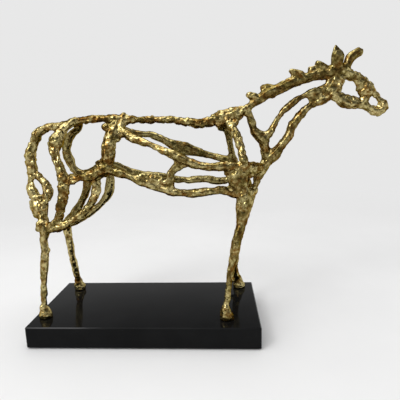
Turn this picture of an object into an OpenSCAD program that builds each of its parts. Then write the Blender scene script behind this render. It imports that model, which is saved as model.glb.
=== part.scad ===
// Openwork horse of brazed bronze bars on a polished stone plinth.
// Millimetres, +Z up, the head looks along +X and the near side is -Y.
// The origin is the centre of the felt's underside.

/* [Plinth] */
// Length of the stone slab
plinth_length = 300; // [300:1:360]
// Depth of the stone slab, front to back
plinth_depth = 140; // [130:1:200]
// Thickness of the stone slab
plinth_height = 28.5; // [24:0.5:50]
// Chamfer along the slab's edges
plinth_chamfer = 1.2; // [0.5:0.1:4]
// Thickness of the felt glued under the slab
felt_thickness = 1.5; // [1:0.5:4]
// Distance from the slab's edge to the felt's edge
felt_inset = 3; // [2:0.5:5]

/* [Fixings] */
// Diameter of the four threaded studs
stud_diameter = 5; // [4:0.5:5]
// Depth of the tapped hole in each hoof
tapped_depth = 12; // [8:1:13]
// Diameter of the clearance holes through the slab
slab_hole = 6; // [5.5:0.5:8]
// Diameter of the counterbores under the slab
counterbore_diameter = 18; // [16:0.5:18]
// Depth of the counterbores under the slab
counterbore_depth = 10; // [10:1:12]
// Outer diameter of the washers
washer_diameter = 15; // [12:1:15]
// Thickness of the washers
washer_thickness = 1.2; // [0.8:0.2:1.6]
// Size of the nuts across their flats
nut_flats = 8; // [7:0.5:10]
// Height of the nuts
nut_height = 4; // [3:0.5:5]

/* [Bars] */
// Thickness of every bar against its drawn gauge
bar_gauge = 1; // [0.95:0.05:1.1]
// Facets around a bar
bar_facets = 8; // [6:1:12]
// Longest distance between the rings of a bar
ring_gap = 7; // [5:1:10]

/* [Hidden] */

gilt_bronze = [0.66, 0.54, 0.28];
olive_bronze = [0.42, 0.36, 0.18];
black_stone = [0.12, 0.12, 0.13];
green_felt = [0.16, 0.22, 0.18];
zinc_steel = [0.70, 0.71, 0.73];

slab_bottom = felt_thickness;
slab_top = felt_thickness + plinth_height;
washer_bottom = slab_bottom + counterbore_depth - washer_thickness;
washer_clearance = 0.5;
stud_below_nut = 1.5;
stud_bottom = washer_bottom - nut_height - stud_below_nut;
round_facets = 48;
hoof_facets = 16;
hex_sides = 6;
cut_margin = 1;

// Where the hooves stand on the slab, and the pastern that each leg bar ends in above them
near_hind_foot = [-135, -43];
far_hind_foot = [-122, 45];
near_fore_foot = [107, -47];
far_fore_foot = [128, 50];
feet = [near_hind_foot, far_hind_foot, near_fore_foot, far_fore_foot];
pastern_height = 15;
pastern_gauge = 4;

// A hoof's rings from the ground up: height, half length, half width, lean towards the toe
hoof_rings = [
    [0, 8, 6.5, 1],
    [5, 8, 6.5, 1],
    [10, 6.5, 5.5, 0],
    [18, 4.5, 4.5, -1]
];

// Each path lists the points of one bar: x, y, height above the slab's top face and the
// bar's half thickness. A fifth number is its half thickness across the horse, where the
// bar is hammered flat.

// Top line, from the root of the tail to the withers
croup_path = [
    [-112, 0, 251, 4], [-102, 0, 253, 5], [-91, 0, 255, 5], [-79, 0, 258, 5],
    [-66, 0, 259, 5], [-53, 0, 260, 5], [-41, 0, 259, 5]
];
back_path = [
    [-44, 0, 257, 6, 5], [-34, 0, 256, 9, 7], [-24, 0, 257, 7, 6], [-10, 0, 257, 5], [6, 0, 256, 5],
    [22, 0, 256, 4], [40, 0, 255, 4], [58, 0, 252, 5], [74, 0, 250, 6], [88, 0, 251, 6],
    [98, 0, 254, 5]
];
withers_path = [
    [93, 0, 253, 6, 5], [103, 0, 256, 9, 5], [113, 0, 256, 11, 6], [123, 0, 260, 9, 6],
    [136, 0, 267, 5]
];

// Tail
dock_path = [
    [-107, 0, 251, 6], [-119, 0, 251, 5], [-129, 0, 249, 5], [-137, 0, 245, 6], [-142, 0, 239, 7],
    [-145, 0, 231, 6], [-149, -2, 221, 7], [-151, -4, 211, 8], [-150, -6, 200, 7],
    [-149, -8, 189, 6]
];
tail_rear_path = [
    [-150, -8, 192, 4], [-150, -10, 181, 4], [-150, -13, 170, 6], [-146, -16, 161, 6],
    [-141, -18, 154, 4]
];
tail_front_path = [
    [-149, -8, 192, 4], [-143, -8, 188, 4], [-134, -10, 180, 4], [-129, -13, 171, 5],
    [-127, -16, 162, 5], [-131, -18, 153, 4]
];
tail_tuft_path = [
    [-141, -17, 161, 6, 5], [-140, -18, 154, 12, 6], [-139, -20, 146, 13, 7], [-138, -21, 138, 10, 7],
    [-134, -24, 130, 6], [-131, -27, 124, 6], [-130, -29, 119, 5]
];

// Near hindquarter
near_haunch_path = [
    [-101, -2, 252, 4], [-106, -7, 243, 7], [-110, -12, 232, 9], [-112, -16, 221, 7],
    [-109, -20, 211, 5], [-105, -22, 199, 5], [-101, -24, 185, 6], [-101, -26, 171, 7],
    [-102, -28, 158, 6], [-106, -29, 144, 5], [-108, -29, 136, 5], [-115, -30, 127, 5],
    [-127, -30, 120, 5]
];
near_haunch_strap_path = [
    [-110, -13, 235, 5], [-103, -9, 245, 5], [-94, -5, 253, 5], [-85, -1, 259, 4]
];
near_stifle_path = [
    [-102, -24, 183, 4], [-94, -25, 181, 4], [-86, -26, 181, 4], [-78, -26, 184, 4],
    [-70, -25, 185, 6], [-60, -23, 187, 8], [-50, -22, 192, 9], [-42, -22, 195, 8], [-34, -23, 192, 6]
];
near_thigh_path = [
    [-59, -22, 184, 5], [-57, -22, 174, 5], [-58, -24, 166, 5], [-62, -26, 157, 5],
    [-68, -27, 148, 5], [-76, -29, 139, 5], [-88, -30, 131, 5], [-99, -30, 124, 5],
    [-111, -30, 120, 5], [-122, -30, 118, 5], [-129, -30, 118, 4]
];
near_hip_path = [
    [-33, -2, 254, 6], [-35, -9, 245, 8], [-37, -14, 236, 8], [-39, -18, 228, 8],
    [-40, -20, 219, 8], [-40, -22, 210, 8], [-42, -22, 200, 7], [-43, -22, 195, 6]
];

// Far hindquarter
far_haunch_path = [
    [-81, 2, 257, 4], [-87, 9, 249, 5], [-94, 14, 242, 5], [-103, 18, 232, 6],
    [-110, 22, 220, 6], [-110, 24, 208, 6], [-107, 25, 196, 5], [-103, 26, 189, 4]
];
far_stifle_path = [
    [-107, 25, 194, 5], [-101, 26, 187, 6], [-92, 26, 185, 5], [-82, 24, 187, 5],
    [-71, 22, 192, 6], [-60, 20, 196, 7], [-52, 20, 196, 5]
];
far_thigh_rear_path = [
    [-84, 22, 186, 4], [-87, 23, 176, 6], [-89, 24, 164, 5], [-94, 26, 154, 5],
    [-101, 28, 143, 5], [-109, 29, 131, 6], [-119, 30, 119, 7], [-126, 30, 112, 5]
];
far_thigh_front_path = [
    [-55, 20, 195, 4], [-52, 19, 183, 5], [-52, 20, 172, 6], [-56, 24, 160, 6],
    [-62, 27, 149, 5], [-73, 29, 138, 5], [-90, 30, 127, 6], [-108, 30, 116, 6],
    [-122, 30, 110, 5]
];
far_hip_path = [
    [-40, 3, 256, 4], [-46, 12, 241, 6], [-51, 18, 227, 6], [-54, 20, 214, 6],
    [-57, 20, 203, 6], [-59, 20, 196, 5]
];

// Hind legs below the hocks
near_shank_path = [
    [-130, -30, 124, 5], [-130, -30, 117, 7], [-131, -30, 110, 6], [-132, -31, 102, 5],
    [-131, -33, 91, 5], [-132, -35, 76, 5], [-133, -37, 63, 5], [-134, -39, 48, 4],
    [-135, -41, 32, 4], pastern(near_hind_foot)
];
far_shank_path = [
    [-125, 29, 116, 5], [-127, 30, 110, 7], [-127, 31, 101, 6], [-126, 33, 87, 5],
    [-126, 35, 73, 5], [-126, 38, 56, 5], [-125, 41, 40, 5], [-124, 43, 26, 4],
    pastern(far_hind_foot)
];

// Near flank
near_flank_path = [
    [-24, -2, 256, 5], [-23, -6, 247, 7], [-17, -11, 239, 6], [-8, -16, 233, 5],
    [4, -20, 228, 5], [18, -24, 223, 4], [31, -26, 217, 5], [44, -28, 212, 6],
    [54, -28, 206, 7], [62, -28, 203, 5]
];
near_rib_path = [
    [57, -28, 205, 4], [66, -28, 201, 5], [79, -28, 197, 5], [96, -27, 196, 5],
    [112, -26, 196, 5], [126, -24, 194, 4]
];
near_link_path = [
    [54, -28, 204, 5], [46, -28, 195, 5], [40, -28, 188, 5], [38, -28, 178, 5],
    [39, -28, 168, 4]
];
near_belly_path = [
    [-38, -22, 193, 5], [-30, -24, 190, 6], [-18, -26, 186, 5], [-8, -27, 181, 5],
    [3, -28, 177, 5], [16, -28, 173, 5], [33, -28, 167, 5], [49, -28, 163, 5],
    [63, -28, 162, 5], [77, -28, 163, 5], [89, -28, 165, 5], [100, -27, 168, 5],
    [109, -25, 166, 5], [119, -23, 161, 5], [130, -21, 157, 4]
];
near_belly_plate_path = [
    [-8, -27, 182, 3], [2, -28, 183, 6, 4], [14, -28, 181, 8, 4], [26, -28, 179, 8, 4],
    [36, -28, 177, 5, 4]
];

// Far flank
far_flank_path = [
    [-28, 2, 255, 5], [-22, 11, 244, 5], [-8, 20, 239, 5], [8, 25, 237, 5],
    [20, 27, 232, 5], [30, 28, 226, 6], [42, 28, 220, 9, 5], [54, 28, 217, 9, 5],
    [64, 28, 214, 8, 5], [74, 28, 211, 6, 5], [84, 28, 208, 5], [96, 28, 204, 5],
    [108, 26, 201, 5], [120, 24, 199, 4]
];
far_belly_path = [
    [-55, 20, 197, 5], [-43, 25, 196, 5], [-26, 28, 187, 5], [-12, 28, 182, 5],
    [5, 28, 180, 5], [23, 28, 179, 5], [38, 28, 175, 5], [59, 28, 173, 5],
    [80, 28, 174, 5], [96, 28, 171, 5], [110, 28, 171, 5], [120, 26, 175, 5], [128, 23, 180, 4]
];

// Shoulders and chest
near_shoulder_path = [
    [111, -1, 256, 5], [116, -6, 247, 5], [122, -11, 238, 5], [127, -16, 227, 5],
    [130, -20, 215, 5], [132, -22, 204, 5], [133, -23, 194, 5]
];
far_shoulder_path = [
    [109, 1, 254, 5], [112, 9, 240, 5], [115, 15, 227, 5], [117, 20, 214, 5],
    [119, 23, 204, 5], [122, 24, 194, 6], [127, 23, 183, 6], [134, 20, 174, 6],
    [141, 16, 168, 6]
];
near_shoulder_plate_path = [
    [134, -22, 201, 6], [130, -23, 192, 10, 6], [124, -23, 183, 13, 6], [124, -23, 175, 12, 6],
    [128, -22, 166, 10, 6], [132, -21, 158, 9, 6]
];
near_breast_tie_path = [[130, -22, 191, 6], [140, -16, 192, 7], [150, -8, 191, 7], [158, -1, 189, 5]];
far_breast_tie_path = [[125, 23, 187, 5], [136, 18, 186, 6], [147, 10, 185, 6], [156, 1, 182, 5]];
elbow_tie_path = [[134, -20, 159, 6], [141, -12, 160, 7], [145, 0, 160, 7], [142, 14, 161, 6]];
chest_path = [
    [244, 0, 283, 6], [238, 0, 278, 6], [229, 0, 273, 5], [219, 0, 269, 4],
    [210, 0, 262, 5], [202, 0, 252, 5], [194, 0, 241, 5], [191, 0, 232, 5],
    [184, 0, 221, 6], [174, 0, 209, 8], [164, 0, 198, 7], [158, 0, 188, 6],
    [153, 0, 180, 5], [148, 0, 171, 5], [146, 0, 162, 4]
];

// Forelegs
near_forearm_path = [
    [133, -20, 162, 7], [132, -20, 155, 9], [131, -22, 145, 9], [130, -25, 133, 8],
    [127, -28, 120, 6], [124, -31, 110, 6], [121, -33, 100, 6], [119, -34, 89, 6],
    [118, -35, 82, 5]
];
near_cannon_path = [
    [119, -34, 86, 5], [116, -36, 74, 5], [113, -39, 58, 4], [111, -42, 44, 4],
    [109, -44, 30, 4], pastern(near_fore_foot)
];
far_forearm_path = [
    [144, 13, 165, 6], [144, 18, 155, 8], [140, 23, 138, 8], [136, 27, 121, 7],
    [133, 30, 106, 6], [129, 33, 92, 6], [125, 34, 80, 5]
];
far_cannon_path = [
    [126, 34, 84, 5], [124, 36, 68, 5], [123, 38, 55, 5], [122, 41, 38, 5],
    [124, 46, 23, 5], pastern(far_fore_foot)
];

// Neck
neck_post_path = [
    [136, 0, 268, 4], [140, 0, 259, 5], [143, 0, 249, 5], [147, 0, 239, 5],
    [153, 0, 233, 7], [159, 0, 227, 7], [161, 0, 217, 6], [162, 0, 206, 6],
    [160, 0, 194, 4]
];
mid_neck_path = [
    [157, 0, 229, 4], [166, 0, 235, 5], [176, 0, 251, 4], [186, 0, 263, 4],
    [196, 0, 273, 4], [206, 0, 280, 4], [218, 0, 285, 5], [232, 0, 288, 5], [242, 0, 289, 5]
];
crest_path = [
    [131, 0, 265, 5], [142, 0, 270, 5], [152, 0, 277, 5], [164, 0, 284, 7],
    [178, 0, 290, 7], [192, 0, 297, 7], [204, 0, 301, 6], [216, 0, 304, 6],
    [229, 0, 306, 7], [241, 0, 308, 8], [252, 0, 310, 7], [259, 0, 309, 5]
];
tuft_paths = [
    [[152, -1, 277, 4], [147, -1, 281, 5], [142, -1, 283, 4], [138, -1, 284, 2]],
    [[178, 1, 290, 4], [168, 1, 292, 5], [161, 1, 291, 4], [156, 1, 291, 2]],
    [[208, -1, 302, 4], [203, -1, 306, 5], [197, -1, 309, 4], [192, -1, 311, 2]],
    [[220, 1, 304, 4], [219, 1, 311, 5], [218, 1, 315, 3]],
    [[242, -1, 306, 5], [235, -1, 311, 5], [229, -1, 315, 5], [224, -1, 319, 3]]
];

// Head
throat_path = [
    [230, 0, 279, 5], [236, 0, 281, 8, 7], [243, 0, 286, 11, 7], [248, 0, 295, 10, 7],
    [250, 0, 304, 7, 6]
];
forehead_path = [
    [254, 0, 308, 6], [264, 0, 304, 6], [274, 0, 300, 6], [282, 0, 294, 7],
    [288, 0, 287, 7], [295, 0, 281, 5], [302, 0, 274, 4], [307, 0, 268, 5],
    [309, 0, 262, 5], [306, 0, 257, 3]
];
cheek_plate_path = [
    [278, 0, 296, 5], [283, 0, 289, 7, 5], [286, 0, 281, 6, 5], [285, 0, 273, 5, 5],
    [282, 0, 268, 4]
];
jaw_path = [
    [246, 0, 282, 6], [254, 0, 275, 7], [264, 0, 271, 8], [275, 0, 269, 7],
    [285, 0, 266, 5], [294, 0, 262, 5], [301, 0, 259, 6], [308, 0, 261, 5]
];
near_ear_path = [
    [250, -2, 309, 5, 4], [248, -4, 317, 7, 4], [248, -5, 325, 8, 4], [246, -6, 332, 5, 3],
    [244, -7, 338, 1, 1]
];
far_ear_path = [
    [256, 2, 309, 5, 4], [262, 3, 316, 5], [266, 4, 323, 6, 5], [272, 5, 329, 5],
    [277, 6, 332, 5], [281, 6, 331, 3]
];

// Working geometry
function pastern(foot) = [foot[0], foot[1], pastern_height, pastern_gauge];
function spot(k) = [k[0], k[1], k[2]];
function full_knot(k) = [k[0], k[1], k[2], k[3], len(k) > 4 ? k[4] : k[3]];
function unit(v) = v / norm(v);

// A smooth curve through four knots, between the middle two
function between(a, b, c, d, t) =
    0.5 * (2 * b + (c - a) * t + (2 * a - 5 * b + 4 * c - d) * t * t
    + (3 * b - a - 3 * c + d) * t * t * t);

// The stations of a bar: its knots, with more between them where they are far apart
function stations(path) =
    let (
        knots = [for (k = path) full_knot(k)],
        last = len(knots) - 1,
        run = concat([2 * knots[0] - knots[1]], knots, [2 * knots[last] - knots[last - 1]])
    )
    concat(
        [
            for (i = [1 : last])
            let (steps = ceil(norm(spot(run[i + 1]) - spot(run[i])) / ring_gap))
            for (s = [0 : steps - 1])
            between(run[i - 1], run[i], run[i + 1], run[i + 2], s / steps)
        ],
        [knots[last]]
    );

// A bar that runs across the horse takes its section from the vertical, the others from the side
function section_side(path) =
    let (span = spot(path[len(path) - 1]) - spot(path[0]))
    abs(span[1]) > norm(span) / 2 ? [0, 0, 1] : [0, 1, 0];

function bar_ring(station, along, side) =
    let (
        across = unit(cross(along, side)),
        through = cross(along, across)
    )
    [
        for (f = [0 : bar_facets - 1])
        let (turn = 360 * (f + 0.5) / bar_facets)
        spot(station)
        + across * station[3] * bar_gauge * cos(turn)
        + through * station[4] * bar_gauge * sin(turn)
    ];

// A closed skin over a list of rings with the same number of points
module skin(rings) {
    sides = len(rings[0]);
    last = len(rings) - 1;
    walls = [
        for (i = [0 : last - 1])
        for (f = [0 : sides - 1])
        let (
            low = i * sides + f,
            low_next = i * sides + (f + 1) % sides
        )
        each [[low, low + sides, low_next + sides], [low, low_next + sides, low_next]]
    ];
    first_cap = [for (f = [0 : sides - 1]) f];
    last_cap = [for (f = [sides - 1 : -1 : 0]) last * sides + f];
    polyhedron(
        points = [for (r = rings) each r],
        faces = concat([first_cap], walls, [last_cap])
    );
}

module bar(path) {
    points = stations(path);
    last = len(points) - 1;
    side = section_side(path);
    translate([0, 0, slab_top])
        skin([
            for (i = [0 : last])
            let (along = unit(spot(points[min(i + 1, last)]) - spot(points[max(i - 1, 0)])))
            bar_ring(points[i], along, side)
        ]);
}

// A bar with its ends cut to sit on the bars that it is brazed to
module brazed_bar(path, hosts) {
    difference() {
        bar(path);
        for (host = hosts)
            bar(host);
    }
}

// The outside of a hoof
module hoof_block(foot) {
    turns = [for (f = [0 : hoof_facets - 1]) 360 * f / hoof_facets];
    translate([foot[0], foot[1], slab_top])
        skin([
            for (r = hoof_rings)
            [for (a = turns) [r[3] + r[1] * cos(a), r[2] * sin(a), r[0]]]
        ]);
}

// A bronze hoof with the tapped hole for its stud
module hoof(foot) {
    difference() {
        hoof_block(foot);
        translate([foot[0], foot[1], slab_top - cut_margin])
            cylinder(d = stud_diameter, h = tapped_depth + cut_margin, $fn = round_facets);
    }
}

// A leg bar, cut to sit on its hoof and on the bars that it is brazed to
module leg_bar(path, foot, hosts = []) {
    difference() {
        brazed_bar(path, hosts);
        hoof_block(foot);
    }
}

// Polished slab, its edges chamfered, drilled and counterbored under each hoof
module stone_slab() {
    color(black_stone)
        translate([0, 0, slab_bottom])
            difference() {
                chamfered_block(plinth_length, plinth_depth, plinth_height, plinth_chamfer);
                for (foot = feet)
                    translate([foot[0], foot[1], -cut_margin]) {
                        cylinder(d = slab_hole, h = plinth_height + 2 * cut_margin, $fn = round_facets);
                        cylinder(
                            d = counterbore_diameter,
                            h = counterbore_depth + cut_margin,
                            $fn = round_facets
                        );
                    }
            }
}

// A block standing on z = 0 with every edge chamfered
module chamfered_block(length, depth, height, chamfer) {
    intersection() {
        linear_extrude(height)
            chamfered_outline(length, depth, chamfer);
        translate([0, depth / 2, height / 2])
            rotate([90, 0, 0])
                linear_extrude(depth)
                    chamfered_outline(length, height, chamfer);
        translate([-length / 2, 0, height / 2])
            rotate([90, 0, 90])
                linear_extrude(length)
                    chamfered_outline(depth, height, chamfer);
    }
}

module chamfered_outline(width, height, chamfer) {
    x = width / 2;
    y = height / 2;
    polygon([
        [-x + chamfer, -y], [x - chamfer, -y], [x, -y + chamfer], [x, y - chamfer],
        [x - chamfer, y], [-x + chamfer, y], [-x, y - chamfer], [-x, -y + chamfer]
    ]);
}

// Felt glued over the underside, so that the nuts are hidden and the slab can't scratch
module felt_pad() {
    color(green_felt)
        translate([felt_inset - plinth_length / 2, felt_inset - plinth_depth / 2, 0])
            cube([plinth_length - 2 * felt_inset, plinth_depth - 2 * felt_inset, felt_thickness]);
}

// One threaded stud from each hoof down into its counterbore
module hoof_studs() {
    color(zinc_steel)
        for (foot = feet)
            translate([foot[0], foot[1], stud_bottom])
                cylinder(d = stud_diameter, h = slab_top + tapped_depth - stud_bottom, $fn = round_facets);
}

module stud_washers() {
    color(zinc_steel)
        for (foot = feet)
            translate([foot[0], foot[1], washer_bottom])
                difference() {
                    cylinder(d = washer_diameter, h = washer_thickness, $fn = round_facets);
                    translate([0, 0, -cut_margin])
                        cylinder(
                            d = stud_diameter + washer_clearance,
                            h = washer_thickness + 2 * cut_margin,
                            $fn = round_facets
                        );
                }
}

module stud_nuts() {
    color(zinc_steel)
        for (foot = feet)
            translate([foot[0], foot[1], washer_bottom - nut_height])
                difference() {
                    cylinder(d = nut_flats / cos(180 / hex_sides), h = nut_height, $fn = hex_sides);
                    translate([0, 0, -cut_margin])
                        cylinder(d = stud_diameter, h = nut_height + 2 * cut_margin, $fn = round_facets);
                }
}

module near_hind_hoof() {
    color(gilt_bronze)
        hoof(near_hind_foot);
}

module far_hind_hoof() {
    color(olive_bronze)
        hoof(far_hind_foot);
}

module near_fore_hoof() {
    color(gilt_bronze)
        hoof(near_fore_foot);
}

module far_fore_hoof() {
    color(olive_bronze)
        hoof(far_fore_foot);
}

module near_hind_shank() {
    color(gilt_bronze)
        leg_bar(near_shank_path, near_hind_foot);
}

module far_hind_shank() {
    color(olive_bronze)
        leg_bar(far_shank_path, far_hind_foot);
}

module near_fore_cannon() {
    color(gilt_bronze)
        leg_bar(near_cannon_path, near_fore_foot, [near_forearm_path]);
}

module far_fore_cannon() {
    color(olive_bronze)
        leg_bar(far_cannon_path, far_fore_foot, [far_forearm_path]);
}

module near_forearm() {
    color(gilt_bronze)
        bar(near_forearm_path);
}

module far_forearm() {
    color(olive_bronze)
        bar(far_forearm_path);
}

module near_haunch_bar() {
    color(gilt_bronze)
        brazed_bar(near_haunch_path, [croup_path, near_shank_path]);
}

module near_haunch_strap() {
    color(gilt_bronze)
        brazed_bar(near_haunch_strap_path, [near_haunch_path, croup_path]);
}

module near_stifle_bar() {
    color(gilt_bronze)
        brazed_bar(near_stifle_path, [near_haunch_path]);
}

module near_thigh_bar() {
    color(gilt_bronze)
        brazed_bar(near_thigh_path, [near_stifle_path, near_haunch_path, near_shank_path]);
}

module far_haunch_bar() {
    color(olive_bronze)
        brazed_bar(far_haunch_path, [croup_path, near_haunch_strap_path, far_stifle_path]);
}

module far_stifle_bar() {
    color(olive_bronze)
        bar(far_stifle_path);
}

module far_thigh_rear_bar() {
    color(olive_bronze)
        brazed_bar(far_thigh_rear_path, [far_stifle_path, far_shank_path]);
}

module far_thigh_front_bar() {
    color(olive_bronze)
        brazed_bar(far_thigh_front_path, [far_stifle_path, far_shank_path, far_thigh_rear_path]);
}

module near_hip_bar() {
    color(gilt_bronze)
        brazed_bar(near_hip_path, [back_path, near_stifle_path]);
}

module far_hip_bar() {
    color(olive_bronze)
        brazed_bar(far_hip_path, [croup_path, back_path, near_hip_path, far_stifle_path]);
}

module croup_bar() {
    color(gilt_bronze)
        brazed_bar(croup_path, [back_path]);
}

module back_bar() {
    color(gilt_bronze)
        brazed_bar(back_path, [withers_path]);
}

module withers_plate() {
    color(gilt_bronze)
        bar(withers_path);
}

module tail_dock() {
    color(gilt_bronze)
        brazed_bar(dock_path, [croup_path, near_haunch_path]);
}

module tail_rear_loop() {
    color(gilt_bronze)
        brazed_bar(tail_rear_path, [dock_path, tail_tuft_path]);
}

module tail_front_loop() {
    color(gilt_bronze)
        brazed_bar(tail_front_path, [dock_path, tail_tuft_path, tail_rear_path]);
}

module tail_tuft() {
    color(gilt_bronze)
        brazed_bar(tail_tuft_path, [near_shank_path, near_haunch_path]);
}

module near_flank_bar() {
    color(gilt_bronze)
        brazed_bar(near_flank_path, [back_path, near_hip_path]);
}

module near_rib() {
    color(gilt_bronze)
        brazed_bar(near_rib_path, [near_flank_path, near_shoulder_path, near_shoulder_plate_path]);
}

module near_flank_link() {
    color(gilt_bronze)
        brazed_bar(near_link_path, [near_flank_path, near_rib_path, near_belly_path]);
}

module near_belly_bar() {
    color(gilt_bronze)
        brazed_bar(near_belly_path, [near_stifle_path, near_shoulder_plate_path, near_forearm_path]);
}

module near_belly_plate() {
    color(gilt_bronze)
        brazed_bar(near_belly_plate_path, [near_belly_path, near_link_path]);
}

module far_flank_bar() {
    color(olive_bronze)
        brazed_bar(far_flank_path, [back_path, near_flank_path, near_hip_path, far_shoulder_path]);
}

module far_belly_bar() {
    color(olive_bronze)
        brazed_bar(far_belly_path, [
            far_stifle_path,
            far_hip_path,
            far_thigh_front_path,
            far_shoulder_path
        ]);
}

module near_shoulder_bar() {
    color(gilt_bronze)
        brazed_bar(near_shoulder_path, [withers_path, near_shoulder_plate_path]);
}

module far_shoulder_bar() {
    color(olive_bronze)
        brazed_bar(far_shoulder_path, [withers_path, near_shoulder_path, far_forearm_path]);
}

module near_shoulder_plate() {
    color(gilt_bronze)
        brazed_bar(near_shoulder_plate_path, [near_forearm_path]);
}

module near_breast_tie() {
    color(gilt_bronze)
        brazed_bar(near_breast_tie_path, [
            near_shoulder_path,
            near_shoulder_plate_path,
            chest_path,
            neck_post_path
        ]);
}

module far_breast_tie() {
    color(olive_bronze)
        brazed_bar(far_breast_tie_path, [far_shoulder_path, chest_path, neck_post_path]);
}

module elbow_tie() {
    color(gilt_bronze)
        brazed_bar(elbow_tie_path, [near_forearm_path, far_forearm_path, near_shoulder_plate_path]);
}

module neck_post() {
    color(gilt_bronze)
        brazed_bar(neck_post_path, [withers_path, crest_path, chest_path]);
}

module chest_bar() {
    color(gilt_bronze)
        brazed_bar(chest_path, [throat_path, elbow_tie_path]);
}

module mid_neck_bar() {
    color(gilt_bronze)
        brazed_bar(mid_neck_path, [neck_post_path, throat_path]);
}

module crest_bar() {
    color(gilt_bronze)
        brazed_bar(crest_path, [withers_path]);
}

module mane_tufts() {
    color(gilt_bronze)
        for (tuft = tuft_paths)
            brazed_bar(tuft, [crest_path]);
}

module throat_plate() {
    color(gilt_bronze)
        brazed_bar(throat_path, [crest_path]);
}

module forehead_bar() {
    color(gilt_bronze)
        brazed_bar(forehead_path, [crest_path, throat_path]);
}

module cheek_plate() {
    color(gilt_bronze)
        brazed_bar(cheek_plate_path, [forehead_path, jaw_path]);
}

module jaw_bar() {
    color(gilt_bronze)
        brazed_bar(jaw_path, [throat_path, forehead_path, chest_path]);
}

module near_ear() {
    color(gilt_bronze)
        brazed_bar(near_ear_path, [crest_path, forehead_path]);
}

module far_ear() {
    color(olive_bronze)
        brazed_bar(far_ear_path, [crest_path, forehead_path, near_ear_path]);
}

stone_slab();
felt_pad();
hoof_studs();
stud_washers();
stud_nuts();
near_hind_hoof();
far_hind_hoof();
near_fore_hoof();
far_fore_hoof();
near_hind_shank();
far_hind_shank();
near_fore_cannon();
far_fore_cannon();
near_forearm();
far_forearm();
near_haunch_bar();
near_haunch_strap();
near_stifle_bar();
near_thigh_bar();
far_haunch_bar();
far_stifle_bar();
far_thigh_rear_bar();
far_thigh_front_bar();
near_hip_bar();
far_hip_bar();
croup_bar();
back_bar();
withers_plate();
tail_dock();
tail_rear_loop();
tail_front_loop();
tail_tuft();
near_flank_bar();
near_rib();
near_flank_link();
near_belly_bar();
near_belly_plate();
far_flank_bar();
far_belly_bar();
near_shoulder_bar();
far_shoulder_bar();
near_shoulder_plate();
near_breast_tie();
far_breast_tie();
elbow_tie();
neck_post();
chest_bar();
mid_neck_bar();
crest_bar();
mane_tufts();
throat_plate();
forehead_bar();
cheek_plate();
jaw_bar();
near_ear();
far_ear();
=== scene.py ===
import math

import bmesh
import bpy
import numpy as np
import openvdb
from mathutils import Matrix, Vector


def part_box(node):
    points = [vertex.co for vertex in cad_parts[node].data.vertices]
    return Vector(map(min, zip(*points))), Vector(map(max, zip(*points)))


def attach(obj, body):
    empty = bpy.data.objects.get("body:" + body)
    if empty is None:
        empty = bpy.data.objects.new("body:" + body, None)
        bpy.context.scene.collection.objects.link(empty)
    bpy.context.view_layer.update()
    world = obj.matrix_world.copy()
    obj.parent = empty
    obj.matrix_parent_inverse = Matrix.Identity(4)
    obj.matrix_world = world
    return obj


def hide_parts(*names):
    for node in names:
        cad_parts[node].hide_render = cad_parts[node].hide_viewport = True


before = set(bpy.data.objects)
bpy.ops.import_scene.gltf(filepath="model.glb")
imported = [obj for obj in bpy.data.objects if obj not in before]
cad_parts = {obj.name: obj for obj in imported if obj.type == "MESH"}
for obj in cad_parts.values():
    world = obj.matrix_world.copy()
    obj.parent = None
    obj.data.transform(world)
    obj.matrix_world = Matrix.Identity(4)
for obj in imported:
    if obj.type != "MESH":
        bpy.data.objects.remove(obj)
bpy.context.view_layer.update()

# ---------------------------------------------------------------------------
# Stone slab. A sawn and polished block of black stone with its edges eased by
# hand, drilled for the four studs. The faint clouds and the few pale grains
# are in the stone itself.
# ---------------------------------------------------------------------------


def finish_nodes(name):
    """A new material with nothing in it but its finish."""
    material = bpy.data.materials.new(name)
    material.use_nodes = True
    tree = material.node_tree
    tree.nodes.clear()
    output = tree.nodes.new("ShaderNodeOutputMaterial")
    finish = tree.nodes.new("ShaderNodeBsdfPrincipled")
    tree.links.new(finish.outputs["BSDF"], output.inputs["Surface"])
    return material, tree, finish


def mottle(tree, grain, detail=4.0, roughness=0.55):
    """Noise whose clouds are about `grain` metres across."""
    place = tree.nodes.new("ShaderNodeTexCoord")
    noise = tree.nodes.new("ShaderNodeTexNoise")
    noise.inputs["Scale"].default_value = 1 / grain
    noise.inputs["Detail"].default_value = detail
    noise.inputs["Roughness"].default_value = roughness
    tree.links.new(place.outputs["Object"], noise.inputs["Vector"])
    return noise.outputs["Fac"]


def shades(tree, amount, *stops):
    """A ramp from amount to colours, given as (position, colour)."""
    ramp = tree.nodes.new("ShaderNodeValToRGB")
    while len(ramp.color_ramp.elements) < len(stops):
        ramp.color_ramp.elements.new(0.5)
    for element, (position, colour) in zip(ramp.color_ramp.elements, stops):
        element.position = position
        element.color = (*colour, 1)
    tree.links.new(amount, ramp.inputs["Fac"])
    return ramp.outputs["Color"]


def grey(value):
    return (value, value, value)


def blend_of(tree, amount, first, second, mode="MIX"):
    """Two colours blended by `amount`, or in full where it is None."""
    node = tree.nodes.new("ShaderNodeMix")
    node.data_type = "RGBA"
    node.blend_type = mode
    if amount is None:
        node.inputs["Factor"].default_value = 1.0
    else:
        tree.links.new(amount, node.inputs["Factor"])
    tree.links.new(first, node.inputs["A"])
    tree.links.new(second, node.inputs["B"])
    return node.outputs["Result"]


def coat(name, material):
    """Gives a part of the base its finish."""
    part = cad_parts[name]
    part.data.materials.clear()
    part.data.materials.append(material)


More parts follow.
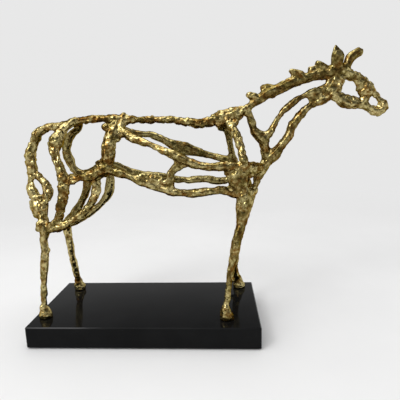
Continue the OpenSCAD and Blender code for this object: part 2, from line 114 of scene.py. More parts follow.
stone, tree, finish = finish_nodes("polished black stone")
clouds = shades(
    tree, mottle(tree, 0.05),
    (0.3, (0.0030, 0.0031, 0.0033)),
    (0.7, (0.0066, 0.0068, 0.0070)),
)
grains = shades(tree, mottle(tree, 0.0022, 2), (0.70, grey(0.0)), (0.80, (0.014, 0.0145, 0.015)))
tree.links.new(blend_of(tree, None, clouds, grains, "ADD"), finish.inputs["Base Color"])
polish = shades(tree, mottle(tree, 0.02), (0.3, grey(0.05)), (0.7, grey(0.11)))
tree.links.new(polish, finish.inputs["Roughness"])
finish.inputs["Specular IOR Level"].default_value = 0.08
coat("stone_slab", stone)

# ---------------------------------------------------------------------------
# Felt pad. Dark wool felt, cut to the shape of the slab and glued under it, so
# that the stone doesn't scratch the table and the nuts are out of sight.
# ---------------------------------------------------------------------------


def dent(tree, finish, height, depth, strength=1.0):
    """Small relief in the finish, `depth` metres deep."""
    bump = tree.nodes.new("ShaderNodeBump")
    bump.inputs["Distance"].default_value = depth
    bump.inputs["Strength"].default_value = strength
    tree.links.new(height, bump.inputs["Height"])
    tree.links.new(bump.outputs["Normal"], finish.inputs["Normal"])


felt, tree, finish = finish_nodes("dark felt")
fleece = shades(tree, mottle(tree, 0.002), (0.3, (0.018, 0.022, 0.020)), (0.7, (0.04, 0.05, 0.045)))
tree.links.new(fleece, finish.inputs["Base Color"])
finish.inputs["Roughness"].default_value = 0.95
finish.inputs["Sheen Weight"].default_value = 0.3
dent(tree, finish, mottle(tree, 0.0006), 0.0004)
coat("felt_pad", felt)

# ---------------------------------------------------------------------------
# Fixings. Zinc plated steel. A stud is screwed into each hoof and goes down
# through the slab to a washer and nut in a counterbore.
# ---------------------------------------------------------------------------

zinc, tree, finish = finish_nodes("zinc plate")
plate = shades(tree, mottle(tree, 0.004), (0.3, (0.50, 0.51, 0.53)), (0.7, (0.66, 0.67, 0.70)))
tree.links.new(plate, finish.inputs["Base Color"])
finish.inputs["Metallic"].default_value = 1.0
spangle = shades(tree, mottle(tree, 0.001), (0.3, grey(0.3)), (0.7, grey(0.5)))
tree.links.new(spangle, finish.inputs["Roughness"])
for name in ("hoof_studs", "stud_washers", "stud_nuts"):
    coat(name, zinc)

# ---------------------------------------------------------------------------
# The brazed skeleton. Bronze bars are bent, brazed to each other with gobs of
# bronze run into the joints, and dressed with a small hammer until each bar
# runs into the next. All bars share this one skin, and each section below
# takes its own bars from it.
# ---------------------------------------------------------------------------

# size of the squares that the skin is made of, and how far the joints are filled, in metres
square = 0.0007
braze = 0.0024
base_parts = ("stone_slab", "felt_pad", "hoof_studs", "stud_washers", "stud_nuts")
bars = [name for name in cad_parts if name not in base_parts]
# gobs of bronze run into the joints: x, y, z and radius in millimetres
gobs = (
    (-43, -13, 278, 5.0),
    (-27, -10, 269, 6.0),
    (-30, -14, 263, 4.5),
    (-50, -22, 234, 3.2),
    (-53, -22, 234, 2.4),
    (-56, -22, 233, 1.8),
    (-134, -30, 154, 6.5),
    (223, 0, 310, 5.0),
    (229, 0, 312, 5.0),
    (123, -6, 279, 4.0),
    (101, 3, 278, 4.5),
    (141, -15, 212, 4.0),
    (112, -23, 217, 4.5),
    (-24, 0, 292, 4.8),
    (-74, 0, 286, 4.0),
    (-129, -31, 120, 4.0),
    (193, 0, 277, 2.6),
    (49, -27, 226, 5.0),
    (57, -27, 229, 3.6),
    (49, -27, 232, 4.2),
    (46, -27, 227, 3.6),
    (53, -27, 227, 3.6),
    (216, 0, 308, 2.4),
    (170, 0, 311, 4.0),
    (-136, -33, 150, 4.0),
    (-89, -24, 217, 2.8),
    (-97, -27, 208, 3.8),
    (-93, -27, 209, 3.4),
    (-89, -26, 210, 2.8),
    (104, 8, 273, 4.0),
    (119, 45, 44, 3.8),
    (256, -3, 327, 3.0),
)


def triangles_of(mesh):
    """Points and triangles of a mesh as arrays."""
    mesh.calc_loop_triangles()
    points = np.empty(len(mesh.vertices) * 3, np.float32)
    mesh.vertices.foreach_get("co", points)
    corners = np.empty(len(mesh.loop_triangles) * 3, np.int32)
    mesh.loop_triangles.foreach_get("vertices", corners)
    return points.reshape(-1, 3), corners.reshape(-1, 3).astype(np.uint32)


def gob_triangles(x, y, z, radius):
    """A gob before it runs into the joint."""
    ball = bpy.data.meshes.new("gob")
    shape = bmesh.new()
    bmesh.ops.create_icosphere(shape, subdivisions=3, radius=radius / 1000)
    bmesh.ops.translate(shape, verts=shape.verts, vec=Vector((x, y, z)) / 1000)
    shape.to_mesh(ball)
    shape.free()
    result = triangles_of(ball)
    bpy.data.meshes.remove(ball)
    return result


def level_set(points, faces, size=square, reach=6.0):
    """Distance to the metal, in cells of `size` metres and as far as `reach` cells."""
    kind = "quads" if faces.shape[1] == 4 else "triangles"
    return openvdb.FloatGrid.createLevelSetFromPolygons(
        points, **{kind: faces}, transform=openvdb.createLinearTransform(size), halfWidth=reach
    )


metal = [triangles_of(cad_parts[name].data) for name in bars]
metal += [gob_triangles(*gob) for gob in gobs]
starts = np.cumsum([0] + [len(points) for points, faces in metal])
bare = level_set(
    np.concatenate([points for points, faces in metal]),
    np.concatenate([faces + start for (points, faces), start in zip(metal, starts)]).astype(np.uint32),
)
# swollen and then drawn back, the metal fills the joints
swollen = level_set(*bare.convertToQuads(braze))
skin, quads = swollen.convertToQuads(-braze)
skin = skin.astype(np.float64)
quads = quads[:, ::-1].astype(np.int64)

# `across` is the quad beyond each side of each quad, `lines` are the edges
sides = np.sort(np.stack([quads, np.roll(quads, -1, 1)], 2).reshape(-1, 2), 1)
pairs = np.lexsort(sides.T).reshape(-1, 2)
across = np.empty(len(sides), np.int64)
across[pairs[:, 0]] = pairs[:, 1] // 4
across[pairs[:, 1]] = pairs[:, 0] // 4
across = across.reshape(-1, 4)
lines = sides[pairs[:, 0]]
valence = np.bincount(lines.ravel(), minlength=len(skin))


def spread(values, times, share=0.5):
    """Each point's value drawn towards the mean of its neighbours'."""
    if values.ndim == 2:
        return np.stack([spread(column, times, share) for column in values.T], 1)
    a, b = lines[:, 0], lines[:, 1]
    for _ in range(times):
        total = np.bincount(a, values[b], len(skin)) + np.bincount(b, values[a], len(skin))
        values = values + share * (total / valence - values)
    return values


def outward(points, faces=None):
    """Unit normals of the skin, from all its quads or from some."""
    faces = quads if faces is None else faces
    p = points[faces]
    face = np.cross(p[:, 2] - p[:, 0], p[:, 3] - p[:, 1])
    total = np.zeros_like(points)
    for corner in range(4):
        for axis in range(3):
            total[:, axis] += np.bincount(faces[:, corner], face[:, axis], len(points))
    return total / np.maximum(np.linalg.norm(total, axis=1, keepdims=True), 1e-12)


def chance(cell, seed):
    """Three numbers from 0 to 1 for each whole-number cell, always the same ones."""
    with np.errstate(over="ignore"):
        key = (cell.astype(np.int64) * np.array([73856093, 19349663, 83492791])).sum(1)
        key = key + seed * 2654435761
        out = []
        for turn in range(3):
            h = (key + turn * 1013904223).astype(np.uint64)
            h ^= h >> np.uint64(33)
            h *= np.uint64(0xFF51AFD7ED558CCD)
            h ^= h >> np.uint64(33)
            h *= np.uint64(0xC4CEB9FE1A85EC53)
            h ^= h >> np.uint64(33)
            out.append((h >> np.uint64(11)) / float(1 << 53))
    return np.stack(out, 1)


def lumps(points, size, seed):
    """Smooth noise from -1 to 1 with lumps about `size` metres across."""
    place = points / size
    low = np.floor(place)
    t = place - low
    t = t * t * (3 - 2 * t)
    total = 0
    for corner in np.ndindex(2, 2, 2):
        weight = np.prod(np.where(np.array(corner), t, 1 - t), axis=1)
        total = total + weight * chance(low + corner, seed)[:, 0]
    return total * 2 - 1


def dabs(points, size, seed, along=(1, 1, 1)):
    """How high each dab of metal stands, and its own tilt.

    The dabs are about `size` metres wide, and longer where `along` is under 1."""
    place = points * np.array(along) / size
    low = np.floor(place)
    nearest = np.full(len(points), 9.0)
    tilt = np.zeros(len(points))
    for step in np.ndindex(3, 3, 3):
        cell = low + np.array(step) - 1
        centre = cell + 0.15 + 0.7 * chance(cell, seed)
        gap = place - centre
        reach = (gap * gap).sum(1)
        closer = reach < nearest
        slope = chance(cell[closer], seed + 7) - 0.5
        tilt[closer] = (gap[closer] * slope).sum(1)
        nearest = np.where(closer, reach, nearest)
    return 1 - nearest, tilt


# the small steps that the squares leave are smoothed away
skin = spread(skin, 6)

# each quad belongs to the bar that it lies closest to, measured in cells of a millimetre
owner = np.zeros(len(quads), int)
closest = np.full(len(quads), 1.0)
centres = skin[quads].mean(1)
cell = 0.001
margin = 9
for number, name in enumerate(bars):
    near = level_set(*triangles_of(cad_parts[name].data), cell, 7.0)
    low, high = (np.array(corner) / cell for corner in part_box(name))
    low = np.floor(low).astype(int) - margin
    high = np.ceil(high).astype(int) + margin
    block = np.full(high - low, near.background, np.float32)
    near.copyToArray(block, ijk=tuple(int(v) for v in low))
    place = centres / cell - low
    inside = np.flatnonzero(((place > 0) & (place < high - low - 1)).all(1))
    gap = block[tuple(np.round(place[inside]).astype(int).T)]
    closer = gap < closest[inside]
    closest[inside[closer]] = gap[closer]
    owner[inside[closer]] = number
# ragged edges between bars are straightened
for _ in range(25):
    around = owner[across]
    votes = (around[:, :, None] == around[:, None, :]).sum(1)
    pick = around[np.arange(len(around)), votes.argmax(1)]
    owner = np.where(votes.max(1) >= 3, pick, owner)
# crumbs of one bar left in another go to the bar around them
largest_crumb = 300
patch = np.arange(len(quads))
while True:
    joined = np.where(owner[across] == owner[:, None], patch[across], patch[:, None]).min(1)
    joined = np.minimum(joined, patch)[joined]
    if (joined == patch).all():
        break
    patch = joined
crumb = np.bincount(patch, minlength=len(patch))[patch] < largest_crumb
while crumb.any():
    for beyond in across.T:
        taken = crumb & ~crumb[beyond]
        owner[taken] = owner[beyond[taken]]
        crumb = crumb & ~taken


def near_to(place, reach):
    """1 at `place` (millimetres), fading over `reach` millimetres."""
    gap = skin - np.array(place) / 1000
    return np.exp(-(gap * gap).sum(1) / (reach / 1000) ** 2)[:, None]


# bars drawn over by hand while hot: place, reach and move in millimetres
for place, reach, move in (
    ((-110, 18, 262), 17, (-3.0, 0, 0)),
    ((-99, 14, 268), 12, (-3.5, 0, 0)),
    ((-111, 20, 240), 17, (-1.5, 0, 0)),
    ((271, -4, 315), 9, (-2.5, 0, 0)),
    ((-145, 0, 245), 18, (-1.8, 0, 0)),
    ((-152, -10, 205), 16, (-2.8, 0, 0)),
    ((-127, -22, 172), 9, (-0.5, 0, 0)),
    ((-106, -30, 171), 12, (-1.8, 0, 0)),
    ((-19, -8, 278), 7, (-5.0, 0, -1.0)),
    ((-21, 8, 279), 7, (-5.0, 0, -1.0)),
    ((-13, -2, 274), 9, (-0.8, 0, -1.2)),
    ((-17, -27, 211), 15, (0, 0, 1.8)),
    ((-65, 26, 170), 14, (-1.0, 0, 1.2)),
    ((110, 15, 246), 14, (1.0, 0, 0)),
    ((132, -20, 250), 14, (-1.2, 0, 0)),
    ((61, 26, 200), 22, (0, 0, -1.0)),
    ((55, -26, 199), 18, (0, 0, 0.8)),
    ((104, -28, 196), 13, (0, 0, -1.9)),
    ((41, -29, 222), 7, (-1.8, 0, -0.5)),
    ((205, 0, 313), 22, (0.6, 0, -1.0)),
    ((140, 0, 281), 14, (1.3, 0, 0)),
    ((183, 0, 290), 20, (-0.9, 0, 0.6)),
    ((187, 0, 269), 18, (0.9, 0, -0.4)),
    ((128, -32, 135), 24, (0.9, 0, 0)),
    ((-52, 22, 200), 13, (-1.3, 0, 0)),
    ((-60, -24, 200), 11, (-1.3, 0, 0)),
    ((143, -1, 200), 6.5, (3.5, 0, 0)),
    ((146, 17, 197), 6, (0, 0, -3.5)),
    ((141, 0, 312), 5, (-2.4, 0, 0.8)),
    ((158, 0, 322), 6, (-1.0, 0, 0.8)),
    ((193, 0, 339), 5, (-2.4, 0, 0.8)),
    ((217, 0, 342), 5, (-1.6, 0, 1.4)),
    ((226, 0, 350), 5, (-1.8, 0, 1.6)),
):
    skin = skin + near_to(place, reach) * np.array(move) / 1000
# feet splayed where they meet the stone: place and reach in millimetres, and how much wider
for place, reach, wider in (
    ((-135, -43, 31), 9, 0.22),
    ((-122, 45, 31), 8, 0.15),
    ((107, -47, 30), 8, 0.42),
    ((129, 50, 31), 10, 0.25),
):
    flat = (skin - np.array(place) / 1000) * (1, 1, 0)
    skin = skin + near_to(place, reach) * flat * wider
# places filed down (below 0) or built up: place, reach and height in millimetres
normal = outward(skin)
for place, reach, height in (
    ((-15, -6, 279), 5, -1.5),
    ((295, 0, 301), 7, -1.2),
    ((314, 0, 295), 9, 1.8),
    ((-114, 22, 235), 12, 1.2),
    ((-143, 0, 250), 13, -0.9),
    ((62, -26, 199), 22, 0.8),
    ((61, 26, 200), 22, 0.5),
    ((5, -27, 209), 28, -0.8),
    ((212, 0, 339), 4, -1.5),
    ((270, -3, 320), 6, 1.5),
    ((185, -6, 270), 10, -0.8),
    ((-71, 25, 173), 7, -1.0),
    ((94, -26, 200), 6, -1.2),
    ((115, -15, 198), 6, -1.5),
    ((227, 0, 320), 8, -1.6),
    ((275, -3, 314), 7, 2.2),
    ((246, -5, 358), 12, 1.0),
    ((275, 5, 360), 13, 1.2),
    ((274, 0, 293), 12, 0.8),
    ((119, 0, 296), 14, 1.2),
    ((25, 0, 290), 22, -0.6),
    ((130, -25, 172), 22, 1.0),
    ((122, -34, 118), 14, 0.5),
    ((-40, -20, 248), 14, 1.3),
    ((-104, -28, 200), 26, 1.0),
    ((-114, -22, 262), 13, 1.2),
    ((-63, -24, 200), 8, 0.7),
    ((-57, 22, 194), 9, 1.5),
    ((-145, -14, 198), 6, 1.6),
    ((-138, -14, 203), 6, -0.8),
    ((-129, -13, 203), 7, -0.7),
    ((-146, -3, 237), 9, -0.6),
    ((-113, -24, 267), 9, 1.6),
    ((-109, -25, 211), 8, 0.7),
    ((113, -26, 198), 6, -1.0),
    ((-132, -33, 125), 20, -0.6),
    ((141, 0, 312), 6, 0.8),
    ((160, 0, 323), 8, 0.8),
    ((193, 0, 339), 6, 0.6),
):
    skin = skin + near_to(place, reach) * normal * height / 1000

# the dressing that every bar gets: wide lumps, small lumps and the tilt of each dab, in
# metres, and after it where the gilding is worn, with painted highlights and painted shade
normal = outward(skin)
tilt = dabs(skin, 0.0085, 3)[1]
dressed = 0.0013 * lumps(skin, 0.013, 1) + 0.0005 * lumps(skin, 0.007, 2) + 0.0014 * tilt + 0.0002
wear_and_painted_light = -0.075 + 0.10 * lumps(skin, 0.020, 11)
# places made brighter (above 0) or darker, partly rubbed wear and partly painted highlights and
# painted shade: place, reach in millimetres, and how much
for place, reach, rubbing_and_painted_light in (
    ((-150, -14, 198), 8, 0.36),
    ((-147, -20, 177), 6, 0.18),
    ((-143, -20, 189), 4, -0.16),
    ((-140, -20, 182), 6, 0.14),
    ((-107, -28, 262), 8, 0.12),
    ((-60, -24, 200), 9, 0.12),
    ((-25, -14, 277), 8, 0.16),
    ((-104, -22, 266), 9, 0.10),
    ((126, -26, 188), 9, 0.10),
    ((119, 42, 55), 16, -0.22),
    ((122, 46, 38), 8, -0.20),
    ((137, 43, 36), 7, 0.50),
    ((-122, 42, 48), 9, -0.22),
    ((125, -33, 150), 20, -0.06),
    ((-35, 0, 283), 6, -0.16),
    ((-60, -22, 233), 12, -0.10),
    ((-92, 24, 180), 16, -0.10),
):
    wear_and_painted_light = wear_and_painted_light + rubbing_and_painted_light * near_to(place, reach)[:, 0]
# the soles stay flat on the stone, and the dressing begins a little above it
sole_top = 0.0305
settled = np.clip((skin[:, 2] - sole_top) / 0.004, 0, 1)
dressed = dressed * settled
corners_at = np.bincount(quads.ravel(), minlength=len(skin))
directed = np.stack([quads, np.roll(quads, -1, 1)], 2)


def rim_loops(rim):
    """Closed loops of point numbers from the directed edges of a rim."""
    after = {}
    for a, b in rim:
        after.setdefault(int(a), []).append(int(b))
    loops = []
    while after:
        start = next(iter(after))
        loop = [start]
        here = after[start].pop()
        if not after[start]:
            del after[start]
        while here != start:
            if here in loop:
                # the rim touches itself here, so what lies behind is a loop of its own
                pinch = loop.index(here)
                loops.append(loop[pinch:])
                del loop[pinch:]
            loop.append(here)
            there = after[here].pop()
            if not after[here]:
                del after[here]
            here = there
        loops.append(loop)
    return loops


# how deep inside the metal the middle of a cut lies, and how high a dab stands, in metres
cut_depth = 0.004
dab_height = 0.0009
# how much brighter dabs are rubbed, how much painted light the tops get and how much painted shade the
# undersides get
rub_dabs = 0.10
painted_light_on_tops = 0.07
painted_shade_on_undersides = -0.16


def take_bars(names, material, beating, gilding=0.0, olive=0.0, own=None):
    """Beats and gilds the named bars, paints light on their tops and shade under them, and cuts them
    from the skin.

    `beating` gives their relief, `gilding` is how much they are rubbed bright,
    `olive` how much of the darker olive colour they get, which on the bars behind is painted shade,
    and `own` is what one bar has besides."""
    members = [bars.index(name) for name in names]
    share = np.bincount(quads.ravel(), np.repeat(np.isin(owner, members), 4), len(skin)) / corners_at
    # 0 along the rim of the group, so that it meets its neighbours, and 1 inside
    share = np.clip((spread(share, 22) - 0.5) / 0.38, 0, 1)
    share = share * share * (3 - 2 * share)
    beaten = np.flatnonzero(share)
    relief = dressed.copy()
    relief[beaten] += share[beaten] * settled[beaten] * beating(skin[beaten])
    relief = spread(relief, 2)
    points = skin + normal * relief[:, None]
    # hollows stay dark with patina, and undersides get painted shade
    standing = (relief - spread(relief, 30, 0.6)) / dab_height
    extra = np.zeros(len(skin))
    for name, amount in (own or {}).items():
        extra[quads[owner == bars.index(name)]] = amount
    patch = np.isin(quads, np.unique(quads[np.isin(owner, members)])).any(1)
    points_out = outward(points, quads[patch])
    facing_up = points_out[:, 2]
    # painted light on the tops and painted shade on the undersides
    painted_light_and_shade_by_side = painted_light_on_tops * facing_up + painted_shade_on_undersides * np.maximum(-facing_up - 0.1, 0)
    # gilding and wear, with the painted light and painted shade added in
    gilding_with_painted_light = wear_and_painted_light + rub_dabs * standing + painted_light_and_shade_by_side + share * (gilding + spread(extra, 12))
    for name in names:
        mine = np.flatnonzero(owner == bars.index(name))
        loops = rim_loops(directed[mine][owner[across[mine]] != bars.index(name)])
        used, corners = np.unique(quads[mine], return_inverse=True)
        faces = corners.reshape(-1, 4).tolist()
        at = {int(point): place for place, point in enumerate(used)}
        # each cut is closed by a fan of triangles
        for hub, loop in enumerate(loops, len(used)):
            faces += [(at[b], at[a], hub) for a, b in zip(loop, loop[1:] + loop[:1])]
        hubs = [points[loop].mean(0) - cut_depth * normal[loop].mean(0) for loop in loops]
        hubs = np.array(hubs).reshape(-1, 3)
        mesh = bpy.data.meshes.new(name + "_bronze")
        mesh.from_pydata(np.concatenate([points[used], hubs]).tolist(), [], faces)
        mesh.shade_smooth()
        facing = np.concatenate([points_out[used], np.tile([0.0, 0.0, 1.0], (len(hubs), 1))])
        mesh.normals_split_custom_set_from_vertices(facing.tolist())
        for field, values in (("gilding_with_painted_light", gilding_with_painted_light), ("olive", share * olive)):
            values = np.append(values[used], np.zeros(len(hubs))).astype(np.float32)
            mesh.attributes.new(field, "FLOAT", "POINT").data.foreach_set("value", values)
        mesh.materials.append(material)
        piece = bpy.data.objects.new(name + "_bronze", mesh)
        bpy.context.scene.collection.objects.link(piece)
        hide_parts(name)
        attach(piece, "root")


def sum_of(tree, a, b, gain):
    """a + gain * b"""
    node = tree.nodes.new("ShaderNodeMath")
    node.operation = "MULTIPLY_ADD"
    tree.links.new(b, node.inputs[0])
    node.inputs[1].default_value = gain
    tree.links.new(a, node.inputs[2])
    return node.outputs[0]


def bronze(name):
    """Bronze gilded and rubbed back: dark in the creases, bright where it stands out, with painted
    light on the tops, painted shade on the undersides, and a darker olive that is painted shade on the
    bars behind.
    """
    material, tree, finish = finish_nodes(name)
    gilding_with_painted_light = tree.nodes.new("ShaderNodeAttribute")
    gilding_with_painted_light.attribute_name = "gilding_with_painted_light"
    olive = tree.nodes.new("ShaderNodeAttribute")
    olive.attribute_name = "olive"
    # gilding and wear with their painted light and painted shade, mottled finely
    worn_and_painted_light = sum_of(tree, gilding_with_painted_light.outputs["Fac"], mottle(tree, 0.0065, 4, 0.68), 1.42)
    worn_and_painted_light = sum_of(tree, worn_and_painted_light, mottle(tree, 0.0022, 2), 0.30)
    gilt = shades(
        tree, worn_and_painted_light,
        (0.30, (0.027, 0.0128, 0.003)),
        (0.56, (0.084, 0.0505, 0.012)),
        (0.76, (0.197, 0.143, 0.045)),
        (1.00, (0.545, 0.458, 0.210)),
    )
    # a darker olive colour, which on the bars behind is painted shade
    dim_olive_and_painted_shade = shades(
        tree, worn_and_painted_light,
        (0.30, (0.018, 0.0095, 0.0025)),
        (0.56, (0.077, 0.053, 0.014)),
        (0.78, (0.170, 0.130, 0.045)),
        (1.00, (0.360, 0.300, 0.128)),
    )
    colour = blend_of(tree, olive.outputs["Fac"], gilt, dim_olive_and_painted_shade)
    # greenish and brown patches, gone where the metal is rubbed and where light is painted on
    tint = shades(
        tree, mottle(tree, 0.0085, 3),
        (0.34, (0.94, 1.03, 0.92)),
        (0.50, (1.0, 1.0, 1.0)),
        (0.64, (1.12, 0.80, 0.54)),
    )
    unrubbed_and_shaded = shades(tree, worn_and_painted_light, (0.68, grey(1.0)), (0.88, grey(0.2)))
    tree.links.new(blend_of(tree, unrubbed_and_shaded, colour, tint, "MULTIPLY"), finish.inputs["Base Color"])
    bared = shades(tree, worn_and_painted_light, (0.3, grey(0.8)), (0.6, grey(1.0)))
    tree.links.new(bared, finish.inputs["Metallic"])
    polish = shades(tree, worn_and_painted_light, (0.3, grey(0.45)), (0.6, grey(0.28)), (0.9, grey(0.20)))
    tree.links.new(polish, finish.inputs["Roughness"])
    dent(tree, finish, mottle(tree, 0.0024, 2), 0.0004, 0.25)
    finish.inputs["Specular Tint"].default_value = (0.55, 0.42, 0.22, 1)
    return material


gilt_bronze = bronze("gilt bronze")
far_bronze_in_painted_shade = bronze("far bronze in painted shade")

# ---------------------------------------------------------------------------
# Hooves. Blobs of bronze run round the foot of each leg and left rough, with
# the sole filed flat to stand on the stone and tapped for the stud.
# ---------------------------------------------------------------------------


def knobbly(points):
    rise, tilt = dabs(points, 0.0056, 31)
    return 0.0006 * rise + 0.0018 * tilt - 0.0006 * lumps(points, 0.013, 1) - 0.0004


take_bars(
    ("near_hind_hoof", "far_hind_hoof", "near_fore_hoof", "far_fore_hoof"),
    gilt_bronze, knobbly, gilding=0.02,
    own={"near_hind_hoof": 0.03, "near_fore_hoof": -0.06, "far_fore_hoof": 0.06},
)

# ---------------------------------------------------------------------------
# Legs below the body. Long bars of bronze, drawn down with the hammer until
# they are nearly smooth, brazed into the hooves and up into the body.
# ---------------------------------------------------------------------------


def drawn_out(points):
    rise, tilt = dabs(points, 0.0060, 37, along=(1, 1, 0.4))
    return 0.0004 * rise + 0.0012 * tilt - 0.0007 * lumps(points, 0.013, 1) - 0.0002


take_bars(
    (
        "near_hind_shank", "far_hind_shank", "near_fore_cannon",
        "far_fore_cannon", "near_forearm", "far_forearm",
    ),
    gilt_bronze, drawn_out, gilding=0.0,
    own={
        "near_hind_shank": 0.03,
        "far_hind_shank": 0.13,
        "far_fore_cannon": 0.06,
        "near_forearm": -0.03,
        "far_forearm": 0.17,
    },
)

# ---------------------------------------------------------------------------
# Hindquarter, near side. Flattened bars of bronze bent to the haunch, stifle,
# thigh and hip, beaten heavily and brazed to the top line and the shank.
# ---------------------------------------------------------------------------


def crumpled(points):
    rise, tilt = dabs(points, 0.0064, 41)
    return 0.0030 * tilt + 0.0009 * rise - 0.0005


take_bars(
    ("near_haunch_bar", "near_haunch_strap", "near_stifle_bar", "near_thigh_bar", "near_hip_bar"),
    gilt_bronze, crumpled, gilding=0.0,
    own={
        "near_haunch_bar": -0.03,
        "near_haunch_strap": 0.15,
        "near_thigh_bar": -0.02,
        "near_stifle_bar": -0.04,
        "near_hip_bar": -0.04,
    },
)

# ---------------------------------------------------------------------------
# Hindquarter, far side. The same bars as on the near side, brazed in the same
# way, but beaten less, and darker olive in painted shade because they are behind.
# ---------------------------------------------------------------------------


def planished(points):
    tilt = dabs(points, 0.0080, 43)[1]
    return 0.0006 * tilt


take_bars(
    ("far_haunch_bar", "far_stifle_bar", "far_thigh_rear_bar", "far_thigh_front_bar", "far_hip_bar"),
    far_bronze_in_painted_shade, planished, gilding=-0.04, olive=1.0,
    own={"far_haunch_bar": 0.15, "far_stifle_bar": 0.10, "far_thigh_front_bar": 0.30},
)

# ---------------------------------------------------------------------------
# Top line. Two bars of bronze for the croup and the back, brazed to the hips
# and to the crumpled plate over the withers.
# ---------------------------------------------------------------------------

take_bars(
    ("croup_bar", "back_bar", "withers_plate"),
    gilt_bronze, crumpled, gilding=-0.08,
    own={"croup_bar": -0.03, "withers_plate": 0.13},
)

# ---------------------------------------------------------------------------
# Tail. One bar of bronze for the dock that parts into a loop and ends in a
# crumpled tuft, brazed to the croup above and to the hock below.
# ---------------------------------------------------------------------------

take_bars(
    ("tail_dock", "tail_rear_loop", "tail_front_loop", "tail_tuft"),
    gilt_bronze, crumpled, gilding=0.03,
    own={"tail_dock": 0.06, "tail_rear_loop": 0.06, "tail_tuft": 0.04},
)

# ---------------------------------------------------------------------------
# Flanks, near side. Thin bars of bronze drawn from hip to shoulder, with a
# link between them, and the beaten plate under the belly.
# ---------------------------------------------------------------------------


def long_marks(points):
    rise, tilt = dabs(points, 0.0055, 47, along=(0.45, 1, 1))
    return 0.0006 * rise + 0.0014 * tilt - 0.0003


take_bars(
    ("near_flank_bar", "near_rib", "near_flank_link", "near_belly_bar"),
    gilt_bronze, long_marks, gilding=0.02,
    own={"near_flank_bar": -0.04, "near_rib": 0.03, "near_flank_link": -0.07},
)
take_bars(("near_belly_plate",), gilt_bronze, crumpled, gilding=0.02)

# ---------------------------------------------------------------------------
# Flanks, far side. Two thin bars of bronze from hip to shoulder, planished
# lightly, and darker olive in painted shade because they are behind.
# ---------------------------------------------------------------------------

take_bars(
    ("far_flank_bar", "far_belly_bar"),
    far_bronze_in_painted_shade, planished, gilding=0.0, olive=1.0,
    own={"far_belly_bar": 0.14},
)

# ---------------------------------------------------------------------------
# Shoulders and breast. A bar of bronze a side with a plate on the near one,
# brazed to the withers and tied across the breast and the elbow.
# ---------------------------------------------------------------------------

take_bars(
    ("near_shoulder_bar", "near_shoulder_plate", "near_breast_tie", "elbow_tie"),
    gilt_bronze, crumpled, gilding=0.02,
    own={
        "near_shoulder_bar": 0.02,
        "near_shoulder_plate": -0.06,
        "near_breast_tie": 0.06,
        "elbow_tie": 0.08,
    },
)
# the far bars are darker olive in painted shade because they are behind
take_bars(
    ("far_shoulder_bar", "far_breast_tie"),
    far_bronze_in_painted_shade, planished, gilding=0.05, olive=1.0,
)

# ---------------------------------------------------------------------------
# Neck. Bars of bronze rising from the chest and the withers to the poll, with
# five tufts of mane beaten out and brazed along the crest.
# ---------------------------------------------------------------------------

take_bars(
    ("neck_post", "chest_bar", "mid_neck_bar", "crest_bar", "mane_tufts"),
    gilt_bronze, long_marks, gilding=-0.02, olive=0.25,
    own={"chest_bar": -0.04, "crest_bar": -0.04, "mane_tufts": 0.04, "mid_neck_bar": 0.03},
)

# ---------------------------------------------------------------------------
# Head. A forehead bar, a cheek plate and a jaw bar of bronze, bent round the
# open eye and brazed to each other at the muzzle and to the throat plate.
# ---------------------------------------------------------------------------

take_bars(
    ("throat_plate", "forehead_bar", "cheek_plate", "jaw_bar"),
    gilt_bronze, crumpled, gilding=0.09,
    own={"cheek_plate": 0.04, "throat_plate": -0.01, "jaw_bar": 0.05},
)

# ---------------------------------------------------------------------------
# Ears. Two leaves of thin bronze, planished and brazed to the poll, one
# upright and one laid forward.
# ---------------------------------------------------------------------------

take_bars(
    ("near_ear", "far_ear"),
    gilt_bronze, planished, gilding=-0.04, olive=0.3,
)

# ---------------------------------------------------------------------------
# Floor, room, lamps and camera. A pale floor that fades into the backdrop, a
# room for the metal to mirror, a key lamp up to the left and one overhead.
# ---------------------------------------------------------------------------


def fade(tree, amount, start, end):
    """0 at `start`, rising smoothly to 1 at `end`."""
    node = tree.nodes.new("ShaderNodeMapRange")
    node.interpolation_type = "SMOOTHSTEP"
    node.inputs["From Min"].default_value = start
    node.inputs["From Max"].default_value = end
    tree.links.new(amount, node.inputs["Value"])
    return node.outputs["Result"]


floor_mesh = bpy.data.meshes.new("floor")
floor_half = 12.0
corners = [
    (-floor_half, -floor_half, 0),
    (floor_half, -floor_half, 0),
    (floor_half, floor_half, 0),
    (-floor_half, floor_half, 0),
]
floor_mesh.from_pydata(corners, [], [(0, 1, 2, 3)])
floor = bpy.data.objects.new("floor", floor_mesh)
bpy.context.scene.collection.objects.link(floor)
pale, tree, finish = finish_nodes("pale floor")
surface = shades(tree, mottle(tree, 0.3), (0.3, grey(0.78)), (0.7, grey(0.82)))
tree.links.new(surface, finish.inputs["Base Color"])
finish.inputs["Roughness"].default_value = 0.6
finish.inputs["Specular IOR Level"].default_value = 0.2
place = tree.nodes.new("ShaderNodeTexCoord")
far_off = tree.nodes.new("ShaderNodeVectorMath")
far_off.operation = "LENGTH"
tree.links.new(place.outputs["Object"], far_off.inputs[0])
haze = tree.nodes.new("ShaderNodeEmission")
haze.inputs["Color"].default_value = (*grey(0.80), 1)
mixed = tree.nodes.new("ShaderNodeMixShader")
tree.links.new(fade(tree, far_off.outputs["Value"], 0.35, 1.3), mixed.inputs["Fac"])
tree.links.new(finish.outputs["BSDF"], mixed.inputs[1])
tree.links.new(haze.outputs["Emission"], mixed.inputs[2])
tree.links.new(mixed.outputs["Shader"], tree.nodes["Material Output"].inputs["Surface"])
floor_mesh.materials.append(pale)

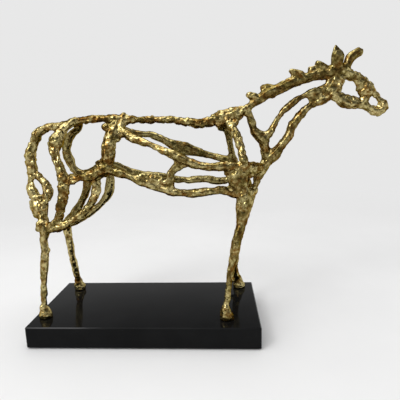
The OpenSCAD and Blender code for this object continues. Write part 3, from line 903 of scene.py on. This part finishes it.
world = bpy.data.worlds.new("studio")
bpy.context.scene.world = world
world.use_nodes = True
tree = world.node_tree
look = tree.nodes.new("ShaderNodeTexCoord")
axes = tree.nodes.new("ShaderNodeSeparateXYZ")
tree.links.new(look.outputs["Generated"], axes.inputs["Vector"])
# a pale wall under a darker ceiling that is pale again overhead
backdrop = shades(
    tree, axes.outputs["Z"],
    (0.00, grey(0.80)),
    (0.37, grey(0.81)),
    (0.50, grey(0.25)),
    (0.70, grey(0.30)),
    (0.86, grey(1.0)),
)
# the room is dimmer in front of the statue
dim = tree.nodes.new("ShaderNodeMath")
dim.operation = "MULTIPLY"
tree.links.new(fade(tree, axes.outputs["Y"], 0.1, -0.8), dim.inputs[0])
tree.links.new(fade(tree, axes.outputs["Z"], 0.04, 0.28), dim.inputs[1])
dimmed = shades(tree, dim.outputs[0], (0.0, grey(1.0)), (1.0, grey(0.40)))
walls = blend_of(tree, None, backdrop, dimmed, "MULTIPLY")
# one soft window high to the left
window = tree.nodes.new("ShaderNodeVectorMath")
window.operation = "DOT_PRODUCT"
tree.links.new(look.outputs["Generated"], window.inputs[0])
window.inputs[1].default_value = Vector((-0.50, -0.45, 0.74)).normalized()
glow = shades(tree, window.outputs["Value"], (0.78, grey(0.0)), (0.93, grey(1.0)))
brighter = tree.nodes.new("ShaderNodeVectorMath")
brighter.operation = "SCALE"
brighter.inputs["Scale"].default_value = 1.5
tree.links.new(glow, brighter.inputs[0])
room = blend_of(tree, None, walls, brighter.outputs["Vector"], "ADD")
# the camera itself sees a plain backdrop
plain = shades(tree, axes.outputs["Z"], (0.00, grey(0.80)), (0.37, grey(0.81)))
ray = tree.nodes.new("ShaderNodeLightPath")
seen = blend_of(tree, ray.outputs["Is Camera Ray"], room, plain)
tree.links.new(seen, tree.nodes["Background"].inputs["Color"])
tree.nodes["Background"].inputs["Strength"].default_value = 1.0


def softbox(name, place, aim, width, height, power):
    """A soft lamp of width by height metres at `place`, turned to `aim`."""
    light = bpy.data.lights.new(name, "AREA")
    light.shape = "RECTANGLE"
    light.size = width
    light.size_y = height
    light.energy = power
    lamp = bpy.data.objects.new(name, light)
    lamp.location = place
    lamp.rotation_euler = (Vector(aim) - Vector(place)).to_track_quat("-Z", "Y").to_euler()
    bpy.context.scene.collection.objects.link(lamp)


softbox("key", (-0.8, -1.0, 1.3), (0, 0, 0.18), 0.45, 0.45, 7)
softbox("top", (0.1, 0.1, 1.6), (0, 0, 0.18), 0.9, 0.6, 4)

camera = bpy.data.objects.new("camera", bpy.data.cameras.new("camera"))
camera.data.lens = 32.4
camera.data.sensor_width = 36
camera.data.clip_start = 0.01
# degrees that the camera is turned from square on, looks down and leans
turned = 3.137
down = 10.6
leaning = -1.541
camera.matrix_world = (
    Matrix.Translation((0.10057, -0.47796, 0.26797))
    @ Matrix.Rotation(math.radians(turned), 4, "Z")
    @ Matrix.Rotation(math.radians(90 - down), 4, "X")
    @ Matrix.Rotation(math.radians(leaning), 4, "Z")
)
bpy.context.scene.collection.objects.link(camera)
bpy.context.scene.camera = camera
bpy.context.scene.view_settings.view_transform = "Standard"
